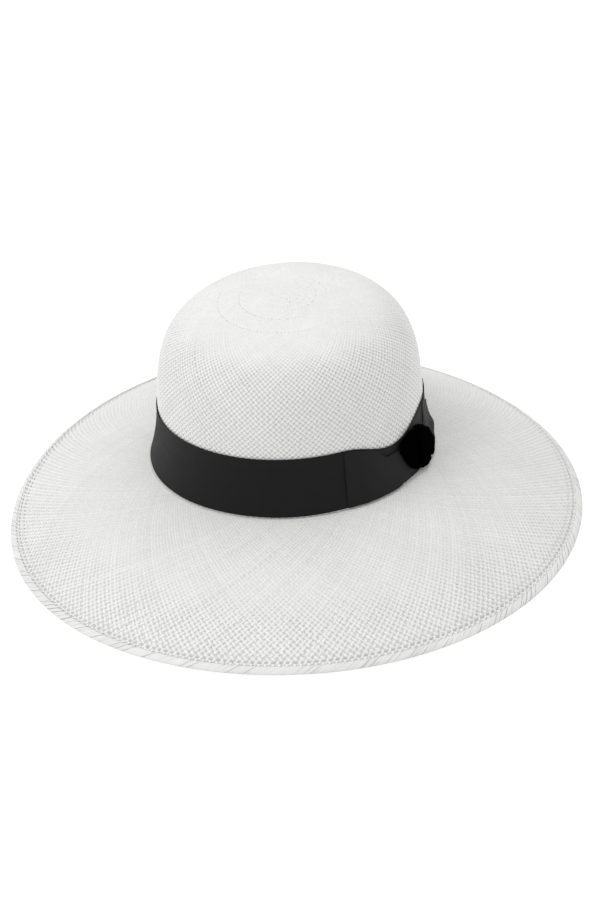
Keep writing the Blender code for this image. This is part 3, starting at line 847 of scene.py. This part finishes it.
# ------------------------------------------------------------ ribbon and bow
def make_band():
    n, m = 480, 15
    t = TAU * np.arange(n) / n
    g = np.linspace(0, 1, m)[None, :]
    top = ribbon_top(t)[:, None]
    lo = 1.2 + 0.10 * np.sin(7 * t + 1.0)[:, None]
    v = lo + (top - lo) * g
    # the ribbon lies a touch proud at its edges and dips between
    d = (-BAND_T / 2.0 + 0.12 * (2 * g - 1) ** 4
         + 0.10 * np.sin(5 * t[:, None] + 3 * g)
         * np.sin(pi * g) * smooth((np.cos(t) + 0.2))[:, None])
    d = np.minimum(d, -0.1)
    grid = wall(t[:, None], v, d)
    r = 94.0
    ob = thick_sheet("hat_ribbon", grid, 0.44, RIBBON, wrap=True,
                     along=t * r * 1.0, replaces=("hat_band",))
    return area_mm2(grid, True)


def loop_path(t_a, t_b, start, d_in, d_out, puff, r_end, n=70):
    """Middle line (theta, d) of one folded ribbon: from the knot out to t_a
    underneath, back on top to t_b, and underneath to the knot again."""
    th, dd = [], []
    mm = degrees(1.0 / 95.0)

    def run(a, b, low, k):
        for x in np.linspace(a, b, k, endpoint=False):
            if low:
                th.append(x)
                dd.append(d_in)
            else:
                e = min(abs(x - t_a), abs(x - t_b)) / mm
                th.append(x)
                dd.append(d_out + puff * np.exp(-(e / 4.0) ** 2))

    def turn(x, sign):
        top = d_out + puff
        rad = (top - d_in) / 2.0
        for a in np.linspace(-90, 90, 9):
            aa = radians(a)
            th.append(x + sign * (np.cos(aa) * rad * r_end) * mm)
            dd.append(d_in + rad + rad * np.sin(aa))

    run(start, t_a, True, n // 2)
    turn(t_a, -1.0)
    body_th = np.linspace(t_a, t_b, n + 2)[1:-1]
    for x in body_th:
        e = min(abs(x - t_a), abs(x - t_b)) / mm
        th.append(x)
        dd.append(d_out + puff * np.exp(-(e / 4.0) ** 2))
    flip = len(th)
    top = d_out + puff
    rad = (top - d_in) / 2.0
    for a in np.linspace(90, -90, 9):
        aa = radians(a)
        th.append(t_b + np.cos(aa) * rad * r_end * mm)
        dd.append(d_in + rad + rad * np.sin(aa))
    for x in np.linspace(t_b, start, n // 2 + 1)[1:]:
        th.append(x)
        dd.append(d_in)
    return np.array(th), np.array(dd)


def bow_outline(th):
    """Lower and upper edge of the black bow at th degrees."""
    f = np.clip((th - SHORT_0) / (SHORT_1 - SHORT_0), 0.0, 1.0)
    x = (f - 0.42) / np.where(f < 0.42, 0.42, 0.58)
    half = 15.0 * np.maximum(1.0 - np.abs(x) ** 2.4, 0.0) ** 0.75
    mid = (21.8 - 14.3 * f + 4.9 * np.maximum(1.0 - f / 0.2, 0.0) ** 2
           + 1.5 * np.sin(pi * f))
    return np.maximum(mid - half, 1.2), mid + half


def make_bow():
    t_front, t_rear = -49.2, 15.2

    def long_span(th):
        x = th - BOW_MID
        full = ribbon_top(np.radians(th)) - 0.6
        lo = 6.5 - 5.2 * smooth((np.abs(x) - 6.0) / 14.0)
        k = smooth((-x - 22.5) / 6.5)
        near = (25.0 + (full - 25.0) * smooth((th - 1.2) / 3.0)
                - 8.0 * smooth((th - 7.0) / 6.0))
        return lo, near + (full - near) * k

    th, dd = loop_path(t_front, t_rear, BOW_MID, 0.52, 1.12, 0.3, 1.0)
    # the front loop's fold is pressed flat
    k = smooth((-th - 40.0) / 8.0)
    dd = 0.3 - 0.1 * k + (dd - 0.3) * (1.0 - 0.6 * k)
    lo, hi = long_span(np.clip(th, -50.0, 16.0))
    m = 17
    g = np.linspace(0, 1, m)[None, :]
    v = lo[:, None] + (hi - lo)[:, None] * g
    x = th[:, None] - BOW_MID
    near = np.exp(-((np.abs(x) - 4.0) / 9.0) ** 2)
    upper = smooth((dd[:, None] - 0.9) / 0.2)
    pleat = near * upper * 0.18 * np.cos(TAU * 2.5 * (g - 0.5) + 0.02 * x)
    slack = upper * 0.10 * np.sin(pi * g) * np.sin(0.16 * x + 2.0 * g)
    # the rear loop swells at its fold and lies flat at its upper edge
    rear = smooth((th[:, None] - 9.6) / 4.0)
    up = smooth((dd[:, None] - 0.55) / 0.5)
    swell = rear * up * 2.1 * np.exp(-((v - 13.5) / np.where(
        v > 13.5, 5.2, 6.5)) ** 2) - up * 0.52 * smooth(
        (th[:, None] + 6.0) / 4.0) * smooth((g - 0.6) / 0.4)
    grid = wall(np.radians(th)[:, None], v,
                dd[:, None] + pleat + slack + swell
                - 0.22 * smooth((g - 0.6) / 0.4))
    ob = thick_sheet("bow_long_ribbon", grid, 0.34, BOW_RIBBON,
                     replaces=("bow_long_loops",))
    a1 = area_mm2(grid)

    # short black loops on top, flattened under the knot
    def tuck(th):
        return 1.0 - smooth((np.abs(th - KNOT_MID) - 4.6) / 3.8)

    th, dd = loop_path(SHORT_0 + 0.35, SHORT_1 - 0.35, KNOT_MID, 1.78, 3.2,
                       0.0, 0.8, n=60)
    lo, hi = bow_outline(np.clip(th, SHORT_0 + 0.7, SHORT_1 - 0.7))
    k = 2.2 * tuck(th)
    lo, hi = np.maximum(lo + k, 1.6), hi - k
    v = lo[:, None] + (hi - lo)[:, None] * g
    upper = smooth((dd[:, None] - 2.2) / 0.9)
    near = np.exp(-((np.abs(th[:, None] - KNOT_MID) - 4.5) / 4.0) ** 2)
    d = (dd[:, None] - upper * 0.95 * tuck(th)[:, None]
         - upper * 0.45 * np.abs(2 * g - 1) ** 3
         + upper * near * 0.22 * np.cos(TAU * 2.5 * g + 0.6)
         + upper * 0.12 * np.sin(0.9 * th[:, None] + 5.0 * g))
    grid = wall(np.radians(th)[:, None], v, d)
    ob = thick_sheet("bow_short_ribbon", grid, 0.3, BLACK,
                     replaces=("bow_short_loops",))
    a2 = area_mm2(grid)

    # knot: a strip drawn round the loops, with soft folds along it
    prof = [(1.0, 0.55), (1.01, 1.5), (1.0, 2.4), (0.965, 3.1),
            (0.90, 3.5), (0.72, 3.75), (0.48, 3.85), (0.24, 3.9), (0.0, 3.9)]
    path = np.array([(h, dq) for h, dq in prof]
                    + [(-h, dq) for h, dq in reversed(prof[:-1])])
    nk = 27
    f = np.linspace(0, 1, nk)
    draw = 1.0 - 0.12 * np.cos(pi / 2.0 * path[:, 0]) ** 2
    tt = KNOT_MID + (2 * f[None, :] - 1.0) * (KNOT_HALF - 0.1) \
        * draw[:, None]
    lo, hi = bow_outline(tt)
    c, h = (lo + hi) / 2.0, (hi - lo) / 2.0 - 0.2
    top = smooth((path[:, 1] - 1.4) / 1.8)[:, None]
    fold = top * (0.35 * np.sin(pi * f) + 0.14 * np.cos(
        TAU * 2.5 * (f - 0.5)))[None, :]
    edge = top * (-0.35 * np.abs(2 * f - 1.0) ** 6)[None, :]
    grid = wall(np.radians(tt), c + h * path[:, 0][:, None],
                path[:, 1][:, None] + fold + edge)
    ob = thick_sheet("bow_wrap", grid, 0.32, BLACK, replaces=("bow_knot",))
    return a1, a2, area_mm2(grid)


# ------------------------------------------------------------- inner trim
def make_sweatband():
    n, m = 360, 15
    gap = 0.5
    deg = 90.0 + gap + (360.0 - 2 * gap) * np.arange(n) / (n - 1)
    t = np.radians(deg)
    g = np.linspace(0, 1, m)[None, :]
    v = SWEAT_LO + (SWEAT_HI - SWEAT_LO) * g
    mid = (SWEAT_OUT + SWEAT_IN) / 2.0
    # the free upper edge leans out and in a little, as leather does
    d = mid + 0.25 * g ** 3 * np.sin(3 * t + 0.5)[:, None] \
        + 0.12 * g * np.sin(8 * t)[:, None]
    grid = wall(t[:, None], v, d)
    ob = thick_sheet("sweatband_strip", grid, 1.05, LEATHER,
                     replaces=("sweatband",))
    a = area_mm2(grid)

    # stitching along the lower edge, into the straw
    k = 196
    tt = TAU * (np.arange(k) + 0.5) / k + radians(90.0)
    half = radians(360.0 / k) * 0.34
    keep = (np.abs(((np.degrees(tt) - 90 + 180) % 360) - 180) > 1.3)
    tt = tt[keep]
    nrm = -xyz(np.cos(tt), np.sin(tt), np.zeros(len(tt)))
    s = wall(tt - half, 3.1, SWEAT_IN + 0.02)
    e = wall(tt + half, 3.1, SWEAT_IN + 0.02)
    rods("sweatband_stitches", s, e, nrm, 0.2, THREAD, arch=0.22)
    # embossed line under the upper edge, as a fine raised bead of thread
    k = 230
    tt = TAU * (np.arange(k) + 0.5) / k + radians(90.0)
    tt = tt[(np.abs(((np.degrees(tt) - 90 + 180) % 360) - 180) > 1.3)]
    half = radians(360.0 / k) * 0.36
    nrm = -xyz(np.cos(tt), np.sin(tt), np.zeros(len(tt)))
    dtop = lambda a: (SWEAT_IN + 0.03
                      + 0.25 * 0.87 ** 3 * np.sin(3 * a + 0.5)
                      + 0.12 * 0.955 * np.sin(8 * a))
    vt = SWEAT_LO + (SWEAT_HI - SWEAT_LO) * 0.955
    rods("sweatband_top_stitches", wall(tt - half, vt, dtop(tt - half)),
         wall(tt + half, vt, dtop(tt + half)), nrm, 0.16, THREAD, arch=0.16)
    # lacing over the butt seam at the rear
    vs = np.arange(4.2, 35.0, 2.1)
    a0, a1 = radians(88.9), radians(91.1)
    sgn = np.where(np.arange(len(vs)) % 2 == 0, 1.0, -1.0)
    lo_t = np.where(sgn > 0, a0, a1)
    hi_t = np.where(sgn > 0, a1, a0)
    s = wall(lo_t, vs, SWEAT_IN + 0.03)
    e = wall(hi_t, vs + 2.0, SWEAT_IN + 0.03)
    nrm = np.tile(np.array([[0.0, -1.0, 0.0]]), (len(vs), 1))
    rods("sweatband_seam_stitches", s, e, nrm, 0.2, THREAD, arch=0.35)
    return a


def make_reed():
    m, sides = 480, 10
    t = TAU * np.arange(m) / m
    w = TAU * np.arange(sides) / sides
    c = wall(t, 0.0, REED_D)
    out = xyz(np.cos(t), np.sin(t), np.zeros(m))
    twist = 0.05 * np.cos(w[None, :] * 3 - (240 * t)[:, None])
    rr = REED_R - 0.06 + twist
    pts = (c[:, None] + out[:, None] * (rr * np.cos(w)[None, :])[..., None]
           + np.array([0, 0, 1.0]) * (REED_V + rr * np.sin(w)[None, :]
                                      )[..., None])
    fib = np.zeros((1, m, sides, 3))
    fib[0, :, :, 0] = (t * 98.0)[:, None]
    fib[0, :, :, 1] = w[None, :]
    v, q, fld = slivers(pts[None], np.array([0.5]), fib, closed=True)
    q = [f[::-1] for f in q]
    ob = make_mesh("sweatband_reed_cord", v, q, CORD, fld, sharp=80)
    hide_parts("sweatband_reed")

    rad = REED_R + GAP + TAPE_T / 2.0
    arc = np.radians(np.linspace(35.0, -215.0, 15))
    grid = (c[:, None] + out[:, None] * (rad * np.cos(arc)[None, :])[..., None]
            + np.array([0, 0, 1.0]) * (REED_V + rad * np.sin(arc)[None, :]
                                       )[..., None])
    ob = thick_sheet("reed_tape_fold", grid, 0.34, TAPE, wrap=True,
                     along=t * 98.0, replaces=("reed_tape",))
    return area_mm2(grid, True)


def block_grid(t0, t1, v0, v1, d, n, m):
    f = np.linspace(0, 1, n)[:, None]
    g = np.linspace(0, 1, m)[None, :]
    return f, g, np.radians(t0 + (t1 - t0) * f), v0 + (v1 - v0) * g


def make_trim():
    sizes = {}
    f, g, t, v = block_grid(86.5, 93.5, 4.0, 35.5, 0, 13, 25)
    grid = wall(t, v, SWEAT_OUT + 0.62 + 0.0 * f)
    ob = thick_sheet("seam_backing_tape", grid, 0.42, SEAM,
                     replaces=("sweatband_seam_tape",))
    sizes["seam_tape"] = area_mm2(grid)

    # back bow: two flat loops and a tight little wrap
    n, m = 49, 11
    x = np.linspace(-1, 1, n)[:, None]
    g = np.linspace(-1, 1, m)[None, :]
    half = 1.6 + 3.5 * smooth(np.abs(x) / 0.85) - 0.35 * smooth(
        (np.abs(x) - 0.86) / 0.14)
    t = np.radians(90.0 + 7.9 * x)
    pinch = np.exp(-(x / 0.32) ** 2)
    base = SWEAT_IN - GAP - 0.62
    d = base - 0.30 * (1 - np.abs(x)) - 0.35 * np.sin(
        pi * np.clip(np.abs(x), 0, 1)) * (1 - g ** 2) \
        + 0.16 * pinch * np.cos(TAU * 1.5 * g)
    grid = wall(t, 9.0 + half * g, d)[:, ::-1]
    ob = thick_sheet("back_bow_loops", grid, 0.32, SATIN,
                     replaces=("sweatband_back_bow",))
    sizes["back_bow"] = area_mm2(grid)
    # under layer of the loops
    d2 = SWEAT_IN - GAP - 0.22 + 0.0 * g + 0.0 * x
    grid = wall(np.radians(90.0 + 7.7 * x), 9.0 + (half - 0.25) * g,
                d2)[:, ::-1]
    ob = thick_sheet("back_bow_under", grid, 0.26, SATIN)
    # wrap
    a = np.linspace(0, 1, 25)[:, None]
    b = np.linspace(-1, 1, 9)[None, :]
    vv = 9.0 + 2.15 * np.cos(pi * a)
    dd = SWEAT_IN - GAP - 0.25 - 1.25 * np.sin(pi * a) ** 0.55 - 0.10 * (
        1 - b ** 2) * np.sin(pi * a)
    grid = wall(np.radians(90.0 + 0.95 * b), vv, dd)
    ob = thick_sheet("back_bow_wrap", grid, 0.3, SATIN)
    sizes["back_wrap"] = area_mm2(grid)

    # size tab: folded cloth, blank
    f, g, t, v = block_grid(70.7, 81.3, 18.2, 29.8, 0, 25, 17)
    bulge = 0.10 * np.sin(pi * f) * np.sin(pi * g)
    grid = wall(t, v, SWEAT_IN - GAP - 0.2 - bulge)[:, ::-1]
    ob = thick_sheet("size_tab", grid, 0.3, LABEL, replaces=("size_label",))
    sizes["size_tab"] = area_mm2(grid)
    per = []
    for (ta, va), (tb, vb) in (((71.1, 18.7), (80.9, 18.7)),
                               ((80.9, 18.7), (80.9, 29.3)),
                               ((80.9, 29.3), (71.1, 29.3)),
                               ((71.1, 29.3), (71.1, 18.7))):
        lth = np.hypot((tb - ta) * 1.62, vb - va)
        k = int(lth / 1.5)
        for j in range(k):
            u0, u1 = (j + 0.18) / k, (j + 0.82) / k
            per.append((ta + (tb - ta) * u0, va + (vb - va) * u0,
                        ta + (tb - ta) * u1, va + (vb - va) * u1))
    per = np.array(per)
    dlt = SWEAT_IN - GAP - 0.37
    tm = np.radians((per[:, 0] + per[:, 2]) / 2)
    rods("size_tab_stitches", wall(np.radians(per[:, 0]), per[:, 1], dlt),
         wall(np.radians(per[:, 2]), per[:, 3], dlt),
         -xyz(np.cos(tm), np.sin(tm), np.zeros(len(tm))), 0.1, THREAD,
         arch=0.12, steps=4, sides=5)

    # care label: blank, doubled over, sewn in by one edge
    lo, hi = LABEL_SPAN
    n, m = 41, 29
    f = np.linspace(0, 1, n)[:, None]
    g = np.linspace(0, 1, m)[None, :]
    t = np.radians(LABEL_HINGE + 0.1 + 14.8 * f)
    dd = SWEAT_IN - GAP - 0.75 - 0.35 * f
    pa, pb = wall(t, lo + 0.15, dd), wall(t, hi - 0.15, dd)
    flat = pa * (1 - g)[..., None] + pb * g[..., None]
    inward = -xyz(np.cos(t), np.sin(t), 0.0 * t)
    wave = 0.5 * smooth(f * 1.2) * np.sin(pi * g * 1.0) * f \
        + 0.18 * f * np.sin(TAU * (g * 0.9 + 0.1))
    grid = (flat + inward * wave[..., None])[:, ::-1]
    ob = thick_sheet("care_label_cloth", grid, 0.28, CARE,
                     replaces=("care_label",),
                     body="care_label_leaf")
    sizes["care_label"] = area_mm2(grid)
    k = 13
    gg = (np.arange(k) + 0.5) / k
    hh = 0.34 / k
    f0 = 0.055

    def on(fv, gv):
        tt = np.radians(LABEL_HINGE + 0.1 + 14.8 * fv)
        d_ = SWEAT_IN - GAP - 0.75 - 0.35 * fv - 0.13
        A, B = wall(tt, lo + 0.15, d_), wall(tt, hi - 0.15, d_)
        return A * (1 - gv)[..., None] + B * gv[..., None]
    fv = np.full(k, f0)
    tm = np.full(k, radians(LABEL_HINGE + 0.9))
    rods("care_label_stitches", on(fv, gg - hh), on(fv, gg + hh),
         -xyz(np.cos(tm), np.sin(tm), np.zeros(k)), 0.11, THREAD, arch=0.14,
         body="care_label_leaf", steps=4, sides=5)
    return sizes


# --------------------------------------------------------- camera and light
def make_camera():
    az, el, ro = radians(18.0), radians(31.455), radians(-2.989)
    back = Vector((np.sin(az) * np.cos(el), -np.cos(az) * np.cos(el),
                   np.sin(el)))
    right = Vector((np.cos(az), np.sin(az), 0.0))
    up = back.cross(right)
    r = right * np.cos(ro) + up * np.sin(ro)
    u = -right * np.sin(ro) + up * np.cos(ro)
    tgt = Vector((0, 0, 81.3)) + r * 6.153 + u * (-38.749)
    pos = tgt + back * 1354.061
    cam = bpy.data.cameras.new("camera")
    cam.sensor_width = 36.0
    cam.sensor_fit = "AUTO"
    cam.lens = 2000.0 / 915.0 * 36.0
    cam.clip_start = 0.01
    cam.clip_end = 50.0
    ob = bpy.data.objects.new("camera", cam)
    ob.matrix_world = Matrix((
        (r.x, u.x, back.x, pos.x * MM), (r.y, u.y, back.y, pos.y * MM),
        (r.z, u.z, back.z, pos.z * MM), (0, 0, 0, 1)))
    bpy.context.scene.collection.objects.link(ob)
    bpy.context.scene.camera = ob


def area_light(name, loc, aim, size, power, shape="DISK"):
    li = bpy.data.lights.new(name, "AREA")
    li.shape, li.size, li.energy = shape, size, power
    ob = bpy.data.objects.new(name, li)
    ob.location = loc
    ob.rotation_euler = (Vector(aim) - Vector(loc)).to_track_quat(
        "-Z", "Y").to_euler()
    bpy.context.scene.collection.objects.link(ob)
    return ob


def make_studio():
    me = bpy.data.meshes.new("studio_floor")
    n, rad = 64, 5.0
    ring = [(rad * np.cos(TAU * k / n), rad * np.sin(TAU * k / n), -0.0002)
            for k in range(n)]
    me.from_pydata(ring, [], [list(range(n))])
    mat, nt, bs = new_mat("studio_floor")
    co = node(nt, "ShaderNodeTexCoord")
    nz = node(nt, "ShaderNodeTexNoise", in_Scale=3.0, in_Detail=2.0)
    nt.links.new(co.outputs["Object"], nz.inputs["Vector"])
    nt.links.new(ramp(nt, nz.outputs["Fac"], [(0.0, (0.34,) * 3),
                                              (1.0, (0.36,) * 3)]),
                 bs.inputs["Base Color"])
    # a lit table top, so that the hat leaves next to no shadow on it
    bs.inputs["Emission Color"].default_value = (1.0, 1.0, 1.0, 1.0)
    bs.inputs["Emission Strength"].default_value = 0.82
    bs.inputs["Roughness"].default_value = 0.9
    bs.inputs["Specular IOR Level"].default_value = 0.1
    me.materials.append(mat)
    floor = bpy.data.objects.new("studio_floor", me)
    bpy.context.scene.collection.objects.link(floor)

    sc = bpy.context.scene
    world = bpy.data.worlds.new("studio")
    sc.world = world
    world.use_nodes = True
    bg = world.node_tree.nodes["Background"]
    bg.inputs["Color"].default_value = (1.0, 1.0, 1.0, 1.0)
    bg.inputs["Strength"].default_value = 0.86
    area_light("key", (-1.2, -1.1, 2.2), (0.0, 0.0, 0.05), 1.7, 22.0)
    area_light("top", (0.3, 0.9, 2.6), (0.0, 0.0, 0.1), 1.8, 15.0)
    sc.view_settings.view_transform = "Standard"
    sc.view_settings.look = "None"


make_camera()
make_studio()
make_straw()
INFO = {"band": make_band(), "bow": make_bow(), "sweat": make_sweatband(),
        "tape": make_reed(), "trim": make_trim()}
print("areas_mm2", INFO)
bpy.context.view_layer.update()
